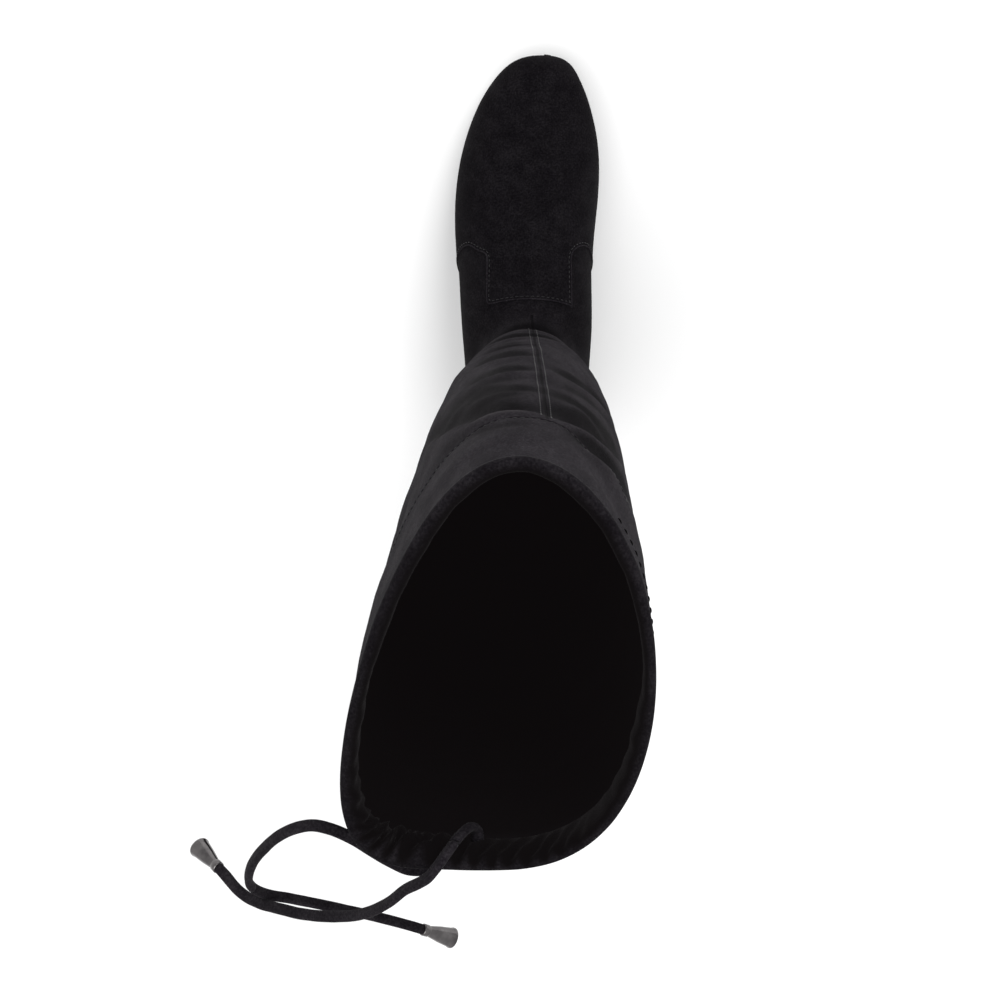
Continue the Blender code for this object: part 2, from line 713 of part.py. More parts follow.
def add_tip(name, end, direction):
    """Hollow metal cone: a socket for the cord at its neck and an open mouth at its far end."""
    bore = CORD_DIAMETER / 2.0 + TIP_PLAY
    mouth = TIP_MOUTH_DIAMETER / 2.0
    web = TIP_SOCKET + TIP_WALL
    profile = [(0.0, TIP_SOCKET), (bore, TIP_SOCKET), (bore, 0.0), (bore + TIP_WALL, 0.0),
               (bore + TIP_WALL * 1.5, TIP_SOCKET), (mouth, TIP_LENGTH), (mouth - TIP_WALL, TIP_LENGTH),
               (bore, web), (0.0, web)]
    turn = Vector((0.0, 0.0, 1.0)).rotation_difference(direction)
    neck = end - direction * (TIP_SOCKET - GAP)
    vertices = []
    for k in range(TIP_SIDES):
        angle = 2.0 * math.pi * k / TIP_SIDES
        for radius, along in profile:
            local = Vector((radius * math.cos(angle), radius * math.sin(angle), along))
            vertices.append(neck + turn @ local)
    count = len(profile)
    faces = []
    for k in range(TIP_SIDES):
        following = (k + 1) % TIP_SIDES
        for j in range(count - 1):
            faces.append((k * count + j, k * count + j + 1,
                          following * count + j + 1, following * count + j))
    return add_object(name, vertices, faces, GUNMETAL, 0.3, 1.0)


def add_tie(side_name, route):
    points = route_curve(route)
    add_cord("drawstring_" + side_name, points)
    direction = (points[-1] - points[-2]).normalized()
    add_tip("drawstring_tip_" + side_name, points[-1], direction)


def build():
    for item in list(bpy.data.objects):
        bpy.data.objects.remove(item, do_unlink=True)
    outer, inner = upper_grid()
    origin = middle_of(outer)
    add_upper(outer, inner, origin)
    add_outsole(origin)
    add_heel(origin)
    add_heel_lift(origin)
    add_insole(origin)
    add_tie("inner", INNER_ROUTE)
    add_tie("outer", OUTER_ROUTE)


build()
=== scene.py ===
import math

import bmesh
import bpy
import numpy as np
from mathutils import Matrix, Vector, noise
from mathutils.bvhtree import BVHTree


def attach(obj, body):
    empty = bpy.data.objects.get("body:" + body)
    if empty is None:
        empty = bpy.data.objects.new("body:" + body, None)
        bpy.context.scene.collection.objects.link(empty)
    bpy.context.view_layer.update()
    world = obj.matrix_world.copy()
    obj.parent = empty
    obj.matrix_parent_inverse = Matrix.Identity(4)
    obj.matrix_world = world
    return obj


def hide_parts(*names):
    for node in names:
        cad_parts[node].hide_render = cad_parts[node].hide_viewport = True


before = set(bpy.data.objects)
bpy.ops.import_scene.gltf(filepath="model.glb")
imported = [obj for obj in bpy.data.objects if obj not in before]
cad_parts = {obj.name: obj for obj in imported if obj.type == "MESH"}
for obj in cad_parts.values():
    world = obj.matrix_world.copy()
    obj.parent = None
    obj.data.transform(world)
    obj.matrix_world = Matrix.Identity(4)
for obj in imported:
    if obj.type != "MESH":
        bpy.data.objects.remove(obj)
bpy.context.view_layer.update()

# Lengths are metres unless a name ends in Mm, angles are degrees. The toe points to -Y, the outer
# side of the foot to +X. A turn is an angle round the shaft: 0 in front, plus to the outer side.
mm = 0.001


def deselectAll():
    if bpy.context.mode != "OBJECT":
        bpy.ops.object.mode_set(mode="OBJECT")
    bpy.ops.object.select_all(action="DESELECT")


def workOn(piece):
    deselectAll()
    piece.select_set(True)
    bpy.context.view_layer.objects.active = piece


def applyModifier(piece, kind, **settings):
    modifier = piece.modifiers.new(kind.title(), kind)
    for name, value in settings.items():
        setattr(modifier, name, value)
    workOn(piece)
    bpy.ops.object.modifier_apply(modifier=modifier.name)


def copyOfNode(node, name):
    piece = bpy.data.objects.new(name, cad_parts[node].data.copy())
    bpy.context.scene.collection.objects.link(piece)
    return piece


def corners(piece):
    places = np.empty(len(piece.data.vertices) * 3)
    piece.data.vertices.foreach_get("co", places)
    return places.reshape(-1, 3)


def moveCorners(piece, places):
    piece.data.vertices.foreach_set("co", places.ravel())
    piece.data.update()


def outwards(piece):
    directions = np.empty(len(piece.data.vertices) * 3)
    piece.data.vertex_normals.foreach_get("vector", directions)
    return directions.reshape(-1, 3)


def meshPiece(name, places, faces, finish):
    mesh = bpy.data.meshes.new(name)
    mesh.from_pydata([tuple(place) for place in places], [], faces)
    piece = bpy.data.objects.new(name, mesh)
    bpy.context.scene.collection.objects.link(piece)
    workOn(piece)
    bpy.ops.object.mode_set(mode="EDIT")
    bpy.ops.mesh.select_all(action="SELECT")
    bpy.ops.mesh.normals_make_consistent(inside=False)
    bpy.ops.object.mode_set(mode="OBJECT")
    bpy.ops.object.shade_smooth()
    mesh.materials.append(finish)
    return piece


def partOfBoot(piece, replaced=None):
    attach(piece, "root")
    if replaced:
        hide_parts(replaced)


def addAttribute(piece, name, values):
    attribute = piece.data.attributes.new(name, "FLOAT", "POINT")
    attribute.data.foreach_set("value", values)


def evenSpots(points, count):
    walked = np.concatenate([[0.0], np.cumsum(np.linalg.norm(np.diff(points, axis=0), axis=1))])
    even = np.linspace(0.0, walked[-1], count)
    return np.stack([np.interp(even, walked, points[:, axis]) for axis in range(3)], axis=1)


def curvePoint(a, b, c, d, share):
    # The usual smooth curve through b and c, with a and d as its neighbours
    return 0.5 * (2 * b + (c - a) * share + (2 * a - 5 * b + 4 * c - d) * share ** 2
                  + (3 * b - a - 3 * c + d) * share ** 3)


def easeIn(value, start, end):
    share = np.clip((value - start) / (end - start), 0.0, 1.0)
    return share * share * (3.0 - 2.0 * share)


# Camera, floor and light
studio = {
    "cameraPlace": (-0.0201, -0.2213, 1.165),
    "cameraTurn": (-17.707, 1.494, 179.740),
    "lens": 65.74,
    "floorSize": 8.0, "floorGap": 0.0002,
    "skyStrength": 0.76,
    "keyPlace": (-0.9, -1.9, 1.9), "keySize": 1.4, "keyPower": 40.0,
    "topPlace": (0.5, 0.4, 2.8), "topSize": 2.2, "topPower": 32.0,
}


def addCamera():
    lens = bpy.data.cameras.new("photoCamera")
    lens.lens = studio["lens"]
    camera = bpy.data.objects.new("photoCamera", lens)
    camera.location = studio["cameraPlace"]
    camera.rotation_euler = [math.radians(angle) for angle in studio["cameraTurn"]]
    bpy.context.scene.collection.objects.link(camera)
    bpy.context.scene.camera = camera


def addSoftbox(name, place, size, power):
    light = bpy.data.lights.new(name, "AREA")
    light.shape = "DISK"
    light.size = size
    light.energy = power
    lamp = bpy.data.objects.new(name, light)
    lamp.location = place
    aim = Vector((0.0, 0.0, 0.3)) - lamp.location
    lamp.rotation_euler = aim.to_track_quat("-Z", "Y").to_euler()
    bpy.context.scene.collection.objects.link(lamp)


# Shader maths: a wire is one output socket, and an expression on wires adds Math nodes
class Wire:
    def __init__(self, finish, socket):
        self.finish = finish
        self.socket = socket

    def maths(self, operation, first, second=0.0):
        return self.finish.node("ShaderNodeMath", {"operation": operation}, {0: first, 1: second})

    def __add__(self, other):
        return self.maths("ADD", self, other)

    def __radd__(self, other):
        return self.maths("ADD", other, self)

    def __sub__(self, other):
        return self.maths("SUBTRACT", self, other)

    def __rsub__(self, other):
        return self.maths("SUBTRACT", other, self)

    def __mul__(self, other):
        return self.maths("MULTIPLY", self, other)

    def __rmul__(self, other):
        return self.maths("MULTIPLY", other, self)

    def __abs__(self):
        return self.maths("ABSOLUTE", self)

    def below(self, limit):
        return self.maths("LESS_THAN", self, limit)

    def above(self, limit):
        return self.maths("GREATER_THAN", self, limit)


class Finish:
    def __init__(self, name, **constants):
        self.material = bpy.data.materials.new(name)
        self.material.use_nodes = True
        self.tree = self.material.node_tree
        self.shader = self.tree.nodes["Principled BSDF"]
        for socket, value in constants.items():
            self.shader.inputs[socket.replace("_", " ")].default_value = value

    def node(self, kind, settings, inputs, output=0):
        made = self.tree.nodes.new(kind)
        for name, value in settings.items():
            if name == "stops":
                self.setStops(made.color_ramp, value)
            else:
                setattr(made, name, value)
        for name, value in inputs.items():
            if isinstance(value, Wire):
                self.tree.links.new(value.socket, made.inputs[name])
            else:
                made.inputs[name].default_value = value
        return Wire(self, made.outputs[output])

    def setStops(self, ramp, stops):
        for spare in range(len(stops) - 2):
            ramp.elements.new(0.5)
        for element, (place, colour) in zip(ramp.elements, stops):
            element.position = place
            element.color = (*colour, 1.0)

    def place(self):
        return self.node("ShaderNodeTexCoord", {}, {}, "Object")

    def axes(self):
        vector = self.place()
        made = self.node("ShaderNodeSeparateXYZ", {}, {0: vector})
        outputs = made.socket.node.outputs
        return [Wire(self, outputs[index]) for index in range(3)]

    def grain(self, scale, detail=2.0, rough=0.5, stretch=None):
        vector = self.place()
        if stretch:
            vector = self.node("ShaderNodeMapping", {}, {"Vector": vector, "Scale": stretch})
        values = {"Vector": vector, "Scale": scale, "Detail": detail, "Roughness": rough}
        return self.node("ShaderNodeTexNoise", {}, values)

    def attribute(self, name):
        return self.node("ShaderNodeAttribute", {"attribute_name": name}, {}, "Fac")

    def between(self, value, start, end, low=0.0, high=1.0):
        settings = {"interpolation_type": "SMOOTHSTEP"}
        values = {"Value": value, "From Min": start, "From Max": end, "To Min": low, "To Max": high}
        return self.node("ShaderNodeMapRange", settings, values)

    def ramp(self, value, stops):
        return self.node("ShaderNodeValToRGB", {"stops": stops}, {0: value})

    def blend(self, factor, first, second):
        return self.node("ShaderNodeMix", {"data_type": "RGBA"}, {0: factor, 6: first, 7: second}, 2)

    def feed(self, socket, wire):
        self.tree.links.new(wire.socket, self.shader.inputs[socket])

    def bump(self, height, distance, strength=1.0):
        values = {"Strength": strength, "Distance": distance, "Height": height}
        self.feed("Normal", self.node("ShaderNodeBump", {}, values))


suede = {
    "dark": (0.0028, 0.0023, 0.0030), "mid": (0.0054, 0.0047, 0.0057), "worn": (0.0110, 0.0098, 0.0113),
    # The light suede colour laid on the folds' edges is a painted highlight
    "wearAndPaintedHighlight": (0.046, 0.042, 0.045), "shade": (0.0016, 0.0013, 0.0017), "inside": (0.0008, 0.0006, 0.0007),
    "strayLight": (0.0036, 0.0029, 0.0031),  # what the photo's dark inside still shows
    "sheen": 0.016, "sheenSoftness": 0.42, "sheenTint": (0.96, 0.92, 0.95, 1.0), "gloss": 0.015,
    "patchScale": 30.0, "brushScale": 110.0, "speckScale": 900.0, "fibreScale": 1500.0,
    "brushStretch": (1.0, 1.0, 0.35), "napMix": (0.14, 0.26, 0.60), "napStops": (0.39, 0.50, 0.62),
    "napDepth": 0.00035, "napStrength": 0.55, "napRelief": (0.6, 0.9, 0.5),
    "cuffFade": (0.05, 0.85), "creaseLight": (0.05, 1.0), "creaseShade": (-0.90, -0.02, 0.86, 0.0),
    "shaftPaintedLight": 2.4, "shaftStart": 0.085, "shaftFull": 0.150,  # painted light: the shaft's colour is made lighter for the light its nap catches
}
# The upper's two upright seams, as grooves in its suede
seams = {
    "bottomHeight": 0.104, "topHeight": 0.4545, "side": -0.0102, "lean": -0.0268, "frontReach": 0.03,
    "backSide": -0.0060, "backLean": 0.024, "backFrom": 0.1, "backBottom": 0.034, "backReach": 0.09,
    "core": 0.0002, "halfWidth": 0.0011, "depth": 6.0, "paintedGrooveShade": 0.75,
}


def napColour(finish, nap, lift):
    stops = zip(suede["napStops"], ("dark", "mid", "worn"))
    return finish.ramp(nap, [(stop, tuple(part * lift for part in suede[key])) for stop, key in stops])


def frontSeamSide(height):
    return (height - seams["bottomHeight"]) * seams["lean"] + seams["side"]


def seamGroove(finish, side, reach, rise):
    ahead = reach.below(seams["frontReach"]) * rise.above(seams["bottomHeight"])
    ahead = ahead * rise.below(seams["topHeight"])
    behind = reach.above(seams["backReach"]) * rise.above(seams["backBottom"])
    backSide = (rise - seams["backFrom"]) * seams["backLean"] + seams["backSide"]
    front = finish.between(abs(side - frontSeamSide(rise)), seams["core"], seams["halfWidth"], 1.0, 0.0)
    back = finish.between(abs(side - backSide), seams["core"], seams["halfWidth"], 1.0, 0.0)
    return front * ahead + back * behind


def suedeFinish(name, lighter=1.0, withSeams=False, withCuff=False):
    finish = Finish(name, Sheen_Weight=suede["sheen"] * lighter, Sheen_Roughness=suede["sheenSoftness"],
                    Sheen_Tint=suede["sheenTint"], Specular_IOR_Level=suede["gloss"],
                    Emission_Strength=1.0 if withCuff else 0.0)
    patches = finish.grain(suede["patchScale"], 3.0, 0.55)
    brushed = finish.grain(suede["brushScale"], 4.0, 0.6, suede["brushStretch"])
    specks = finish.grain(suede["speckScale"], 3.0, 0.75)
    fibres = finish.grain(suede["fibreScale"], 2.0, 0.65)
    patchShare, brushShare, speckShare = suede["napMix"]
    nap = patches * patchShare + brushed * brushShare + specks * speckShare
    colour = napColour(finish, nap, lighter)
    fibreRelief, speckRelief, brushRelief = suede["napRelief"]
    height = fibres * fibreRelief + specks * speckRelief + brushed * brushRelief
    if withCuff:
        # Towards the inside the rolled edge is painted dark as the shaft's shadow, and glows faintly with
        # painted stray light
        fade = finish.between(finish.attribute("rimInside"), *suede["cuffFade"])
        colour = finish.blend(fade, colour, (*suede["inside"], 1.0))
        finish.feed("Emission Color", finish.blend(fade, (0.0, 0.0, 0.0, 1.0), (*suede["strayLight"], 1.0)))
    if withSeams:
        side, reach, rise = finish.axes()
        groove = seamGroove(finish, side, reach, rise)
        height = height - groove * seams["depth"]
        # Painted light: the shaft's suede is painted lighter going up, for the light its nap catches
        paintedShaftLight = finish.between(rise, suede["shaftStart"], suede["shaftFull"])
        colour = finish.blend(paintedShaftLight, colour, napColour(finish, nap, lighter * suede["shaftPaintedLight"]))
        # Painted light and shade of the folds: a painted highlight on each fold's edge and painted shade
        # below it, varied by a random mottle
        tone = finish.attribute("foldTone")
        lit = finish.between(tone, *suede["creaseLight"])
        shaded = finish.between(tone, *suede["creaseShade"])
        colour = finish.blend(lit, colour, (*suede["wearAndPaintedHighlight"], 1.0))
        colour = finish.blend(shaded, colour, (*suede["shade"], 1.0))
        # Painted shade in the seam grooves
        colour = finish.blend(groove * seams["paintedGrooveShade"], colour, (*suede["shade"], 1.0))
    finish.feed("Base Color", colour)
    finish.feed("Roughness", finish.between(nap, 0.3, 0.7, 0.96, 0.82))
    finish.bump(height, suede["napDepth"], suede["napStrength"])
    return finish.material


def liningFinish():
    # The faint glow stands for the stray light that lifts the photo's shadows
    finish = Finish("shaftLining", Sheen_Weight=0.0, Specular_IOR_Level=0.04, Emission_Strength=1.0,
                    Emission_Color=(*suede["strayLight"], 1.0))
    depth = finish.attribute("belowRim")
    weave = finish.grain(900.0, 2.0, 0.6)
    patches = finish.grain(30.0, 3.0, 0.5)
    facing = finish.ramp(patches, [(0.35, suede["dark"]), (0.65, suede["mid"])])
    deep = finish.ramp(weave, [(0.4, (0.0010, 0.0007, 0.0008)), (0.7, (0.0020, 0.0014, 0.0016))])
    finish.feed("Base Color", finish.blend(finish.between(depth, 0.016, 0.030), facing, deep))
    finish.feed("Roughness", finish.between(weave, 0.3, 0.7, 0.9, 0.98))
    finish.bump(weave + patches * 0.5, 0.0003, 0.5)
    return finish.material


def rubberFinish(name, colour, gloss):
    finish = Finish(name, Specular_IOR_Level=gloss)
    stipple = finish.grain(900.0, 3.0, 0.6)
    wear = finish.grain(40.0, 4.0, 0.6)
    dusty = tuple(part * 1.9 for part in colour)
    finish.feed("Base Color", finish.ramp(wear, [(0.42, colour), (0.75, dusty)]))
    finish.feed("Roughness", finish.between(wear, 0.3, 0.7, 0.55, 0.75))
    finish.bump(stipple * 0.6 + wear * 0.4, 0.0002, 0.5)
    return finish.material


def metalFinish():
    finish = Finish("gunmetalPlating", Metallic=1.0, Specular_IOR_Level=0.5)
    streaks = finish.grain(700.0, 3.0, 0.6)
    wearAndPaintedHighlight = finish.grain(160.0, 3.0, 0.6)
    plating = finish.ramp(wearAndPaintedHighlight, [(0.35, (0.10, 0.094, 0.096)), (0.7, (0.19, 0.18, 0.18))])
    finish.feed("Base Color", plating)
    finish.feed("Roughness", finish.between(streaks, 0.3, 0.7, 0.16, 0.26))
    return finish.material


def threadFinish():
    finish = Finish("stitchThread", Specular_IOR_Level=0.25, Sheen_Weight=0.08)
    twist = finish.grain(1800.0, 1.0, 0.5)
    ply = finish.ramp(twist, [(0.3, (0.0036, 0.0031, 0.0038)), (0.7, (0.0084, 0.0074, 0.0086))])
    finish.feed("Base Color", ply)
    finish.feed("Roughness", finish.between(twist, 0.3, 0.7, 0.5, 0.7))
    return finish.material


# The tie: two ends of a folded suede lace, each in a turned metal tip
tie = {
    "innerRoute": [
        (0.0080, 0.1365, 0.5000), (0.0085, 0.1320, 0.5000), (0.0110, 0.1285, 0.5040),
        (0.0150, 0.1285, 0.5120), (0.0195, 0.1320, 0.5190), (0.0240, 0.1375, 0.5220),
        (0.0285, 0.1435, 0.5200), (0.0370, 0.1530, 0.5110), (0.0460, 0.1645, 0.5030),
        (0.0570, 0.1755, 0.4920), (0.0700, 0.1845, 0.4790), (0.0850, 0.1925, 0.4640),
        (0.0980, 0.1975, 0.4510), (0.1100, 0.2020, 0.4380), (0.1200, 0.2030, 0.4270),
        (0.1285, 0.2000, 0.4170), (0.1345, 0.1980, 0.4100)],
    "outerRoute": [
        (0.0260, 0.1425, 0.4980), (0.0265, 0.1470, 0.4985), (0.0300, 0.1500, 0.4995),
        (0.0365, 0.1495, 0.5005), (0.0440, 0.1455, 0.5010), (0.0515, 0.1405, 0.5010),
        (0.0590, 0.1360, 0.5000), (0.0685, 0.1330, 0.4975), (0.0780, 0.1345, 0.4920),
        (0.0890, 0.1420, 0.4840), (0.0990, 0.1545, 0.4730), (0.1075, 0.1695, 0.4610),
        (0.1115, 0.1850, 0.4500), (0.1070, 0.1960, 0.4400), (0.0955, 0.2040, 0.4310),
        (0.0800, 0.2135, 0.4210), (0.0635, 0.2230, 0.4120), (0.0490, 0.2320, 0.4040),
        (0.0360, 0.2405, 0.3970)],
    "diameter": 0.0046, "width": 0.0051, "thickness": 0.0041, "foldDepth": 0.22, "foldSharpness": 12,
    "wobble": 0.05, "wobbleScale": 130.0, "stepsPerSpan": 9, "sides": 20,
    "tipRings": [(-0.0040, 0.0025), (-0.0036, 0.0029), (-0.0010, 0.0029), (-0.0004, 0.0026),
                 (0.0004, 0.0027), (0.0060, 0.0038), (0.0122, 0.0046), (0.0132, 0.0050), (0.0140, 0.0050)],
    "tipWall": 0.0005, "tipSides": 40, "tipBevel": 0.00012,
}


def smoothRoute(points):
    points = [Vector(point) for point in points]
    padded = [points[0] * 2 - points[1], *points, points[-1] * 2 - points[-2]]
    made = []
    for a, b, c, d in zip(padded, padded[1:], padded[2:], padded[3:]):
        for step in range(tie["stepsPerSpan"]):
            made.append(curvePoint(a, b, c, d, step / tie["stepsPerSpan"]))
    return made + [points[-1]]


def addLace(name, route, finish):
    line = smoothRoute(route)
    rows = []
    across = Vector((0.0, 0.0, 1.0)).cross(line[1] - line[0]).normalized()
    for index, point in enumerate(line):
        ahead = line[min(index + 1, len(line) - 1)]
        behind = line[max(index - 1, 0)]
        along = (ahead - behind).normalized()
        across = (across - along * across.dot(along)).normalized()
        over = along.cross(across)
        if over.z < 0.0:
            over = -over
        ring = []
        for k in range(tie["sides"]):
            angle = 2.0 * math.pi * k / tie["sides"]
            crease = 1.0 - tie["foldDepth"] * max(math.sin(angle), 0.0) ** tie["foldSharpness"]
            grain = noise.noise(point * tie["wobbleScale"] + Vector((0.0, 0.0, k * 0.4)))
            wobble = 1.0 + tie["wobble"] * grain
            sideways = across * math.cos(angle) * tie["width"] / 2.0 * wobble
            upwards = over * math.sin(angle) * tie["thickness"] / 2.0 * crease * wobble
            ring.append(point + sideways + upwards)
        rows.append(ring)
    vertices = [corner for ring in rows for corner in ring]
    sides = tie["sides"]
    faces = []
    for i in range(len(rows) - 1):
        for k in range(sides):
            following = (k + 1) % sides
            faces.append((i * sides + k, i * sides + following,
                          (i + 1) * sides + following, (i + 1) * sides + k))
    faces.append(tuple(range(sides))[::-1])
    faces.append(tuple((len(rows) - 1) * sides + k for k in range(sides)))
    return meshPiece(name, vertices, faces, finish), line


def addTip(name, end, direction):
    rings = tie["tipRings"]
    deselectAll()
    bpy.ops.mesh.primitive_circle_add(vertices=tie["tipSides"], radius=rings[0][1],
                                      location=(0.0, 0.0, 0.0))
    piece = bpy.context.active_object
    piece.name = name
    bpy.ops.object.mode_set(mode="EDIT")
    bpy.ops.mesh.select_all(action="SELECT")
    for (place, radius), (nextPlace, nextRadius) in zip(rings, rings[1:]):
        bpy.ops.mesh.extrude_region_move(TRANSFORM_OT_translate={"value": (0.0, 0.0, nextPlace - place)})
        centre = (0.0, 0.0, nextPlace - rings[0][0])
        share = nextRadius / radius
        bpy.ops.transform.resize(value=(share, share, 1.0), center_override=centre)
    bpy.ops.mesh.select_all(action="SELECT")
    bpy.ops.mesh.normals_make_consistent(inside=False)
    bpy.ops.object.mode_set(mode="OBJECT")
    applyModifier(piece, "SOLIDIFY", thickness=tie["tipWall"], offset=-1.0)
    applyModifier(piece, "BEVEL", width=tie["tipBevel"], segments=2, limit_method="ANGLE")
    turn = Vector((0.0, 0.0, 1.0)).rotation_difference(direction).to_matrix().to_4x4()
    piece.data.transform(Matrix.Translation(end) @ turn @ Matrix.Translation((0.0, 0.0, rings[0][0])))
    workOn(piece)
    bpy.ops.object.shade_smooth()
    return piece


def routeLength(line):
    return sum((b - a).length for a, b in zip(line, line[1:]))


def addTieEnd(side, finishes):
    lace, line = addLace("suedeLace_" + side, tie[side + "Route"], finishes["lace"])
    direction = (line[-1] - line[-2]).normalized()
    tip = addTip("laceTip_" + side, line[-1], direction)
    tip.data.materials.append(finishes["metal"])
    for piece, node in ((lace, "drawstring_" + side), (tip, "drawstring_tip_" + side)):
        partOfBoot(piece, node)
    round(routeLength(line), 4)


# The upper: the outer face of the imported wall, made finer, creased and thickened again
upper = {
    "wall": 0.0017, "longEdge": 0.019, "undersideHeight": 0.034, "rimHeight": 0.45, "rimFaceHeight": 0.5,
    "stepAngle": 38.0, "shortestStep": 0.05, "fineBelowRim": 0.029,
    "stillHeight": 0.075, "freeHeight": 0.135, "calmBelowRim": (0.004, 0.030),
    "waveScale": 22.0, "waveDepth": 0.0011, "rippleScale": 55.0, "rippleDepth": 0.00045,
    "skinScale": 60.0, "skinDepth": 0.00015, "skinFrom": (0.03, 0.045),
    "mottleScale": 34.0, "mottle": 0.20,
    "axisFoot": (-0.0070, 0.0560), "axisFootHeight": 0.12,
    "axisCollar": (0.0, 0.0530), "axisCollarHeight": 0.54,
}

# Creases, by depth and half width in millimetres, the share of the depth that swells above and
# below, and points as turn in degrees and height in millimetres
creases = [
    (1.2, 5.0, 0.5, 0.3, [(24, 213), (6, 226), (-14, 220)]),
    (1.6, 5.0, 0.6, 0.3, [(32, 230), (15, 262), (-2, 280), (-11, 280)]),
    (2.0, 5.0, 0.7, 0.3, [(34, 278), (12, 326), (-1, 340), (-12, 338)]),
    (2.3, 5.0, 0.7, 0.3, [(47, 284), (14, 373), (0, 398), (-11, 400)]),
    (3.4, 7.0, 0.8, 0.3, [(60, 322), (42, 342), (17, 405), (6, 438), (-4, 443), (-14, 438)]),
    (1.2, 3.5, 0.4, 0.3, [(12, 462), (0, 476), (-7, 482)]),
    (2.0, 5.0, 0.6, 0.4, [(-12, 330), (-27, 312), (-45, 290), (-64, 272)]),
    (1.8, 4.5, 0.5, 0.3, [(-13, 410), (-22, 390), (-36, 382), (-56, 350)]),
    (3.6, 7.5, 0.8, 0.2, [(-10, 456), (-21, 436), (-33, 414), (-52, 370), (-75, 338)]),
    (3.0, 7.0, 0.7, 0.3, [(-18, 482), (-30, 460), (-46, 436), (-66, 418), (-90, 412)]),
    (2.4, 8.0, 0.5, 0.4, [(62, 108), (28, 126), (0, 132), (-28, 124), (-62, 106)]),
    (1.8, 7.0, 0.5, 0.4, [(48, 158), (12, 172), (-14, 170), (-52, 156)]),
    (1.5, 10.0, 0.4, 0.3, [(40, 222), (84, 252), (136, 262)]),
    (1.4, 11.0, 0.4, 0.3, [(60, 322), (100, 346), (150, 352)]),
    (1.6, 11.0, 0.4, 0.3, [(46, 412), (84, 430), (130, 434)]),
    (1.5, 10.0, 0.4, 0.3, [(-50, 206), (-100, 236), (-150, 240)]),
    (1.5, 11.0, 0.4, 0.3, [(-62, 288), (-110, 310), (-158, 306)]),
    (1.4, 11.0, 0.4, 0.3, [(-84, 384), (-126, 396), (-172, 388)]),
    (1.8, 9.0, 0.5, 0.4, [(116, 140), (178, 156), (-124, 142)]),
    (1.7, 10.0, 0.5, 0.4, [(108, 184), (168, 200), (-128, 186)]),
    (1.4, 11.0, 0.4, 0.3, [(124, 290), (176, 276), (-134, 292)]),
    (1.4, 11.0, 0.4, 0.3, [(110, 364), (160, 378), (-150, 366)]),
    (0.9, 3.0, 0.5, 0.2, [(18, 192), (5, 214), (-8, 200)]),
    (1.1, 3.0, 0.5, 0.2, [(24, 250), (8, 274), (0, 288), (-9, 282)]),
    (1.2, 3.0, 0.5, 0.2, [(30, 300), (10, 347), (0, 364), (-10, 352)]),
    (1.5, 3.4, 0.5, 0.2, [(32, 340), (12, 388), (0, 414), (-10, 404)]),
    (1.3, 3.2, 0.5, 0.2, [(42, 350), (25, 398), (11, 430)]),
    (0.9, 2.8, 0.4, 0.2, [(26, 412), (12, 468), (1, 492)]),
    (1.4, 3.4, 0.5, 0.2, [(-14, 372), (-26, 352), (-40, 330), (-58, 310)]),
    (1.4, 3.4, 0.5, 0.2, [(-16, 436), (-28, 410), (-42, 392), (-58, 376)]),
]
# How a crease is cut and shaded. Near the sides of the photo's view it swells less.
fold = {
    "steps": 150, "fadeShare": 0.36, "reach": 0.16, "throughWall": 0.03, "runOut": 3.0,
    # Across the crease, in half widths: the cut, the crest above, the foot below
    "cutShift": 0.3, "cutAbove": 0.55, "cutBelow": 1.3,
    "crestAt": 1.05, "crestWidth": 0.75, "footAt": 2.3, "footWidth": 1.1,
    # Its shading: a light edge over a shadow
    "edgeAt": 0.8, "edgeWidth": 0.45, "edgeLight": 0.62,
    "shadowAbove": 0.5, "shadowBelow": 1.8, "shadowDark": 1.15, "shadeDepthMm": 1.3, "shadeMost": 1.6,
    "evenFold": 3, "evenTone": 4,
    "flankTurns": (28.0, 52.0), "flankBefore": 0.06, "flankSwell": 0.85, "flankCut": 0.45,
    "toneTurns": (40.0, 78.0), "toneLoss": 0.88,
}


def shaftAxis(height):
    share = (height - upper["axisFootHeight"]) / (upper["axisCollarHeight"] - upper["axisFootHeight"])
    side = upper["axisFoot"][0] + (upper["axisCollar"][0] - upper["axisFoot"][0]) * share
    reach = upper["axisFoot"][1] + (upper["axisCollar"][1] - upper["axisFoot"][1]) * share
    return side, reach


def turnOf(places):
    side, reach = shaftAxis(places[:, 2])
    return np.degrees(np.arctan2(places[:, 0] - side, -(places[:, 1] - reach)))


def keepOuterFace(piece):
    work = bmesh.new()
    work.from_mesh(piece.data)
    bmesh.ops.remove_doubles(work, verts=work.verts, dist=1e-5)
    edgeFaces = []
    for face in work.faces:
        height = face.calc_center_median().z
        underneath = face.normal.z < -0.85 and height < upper["undersideHeight"]
        onRim = face.normal.z > 0.6 and height > upper["rimFaceHeight"]
        if underneath or onRim:
            edgeFaces.append(face)
    bmesh.ops.delete(work, geom=edgeFaces, context="FACES_ONLY")
    start = max(work.faces, key=lambda face: face.calc_center_median().x)
    reached = {start}
    waiting = [start]
    while waiting:
        for edge in waiting.pop().edges:
            for face in edge.link_faces:
                if face not in reached:
                    reached.add(face)
                    waiting.append(face)
    unreached = [face for face in work.faces if face not in reached]
    bmesh.ops.delete(work, geom=unreached, context="FACES")
    for parts, kind in ((work.edges, "EDGES"), (work.verts, "VERTS")):
        bmesh.ops.delete(work, geom=[part for part in parts if not part.link_faces], context=kind)
    lines = stepLines(work)
    print("outer face keeps", len(work.faces), "triangles and", len(lines), "overlay edges")
    work.to_mesh(piece.data)
    work.free()
    return lines


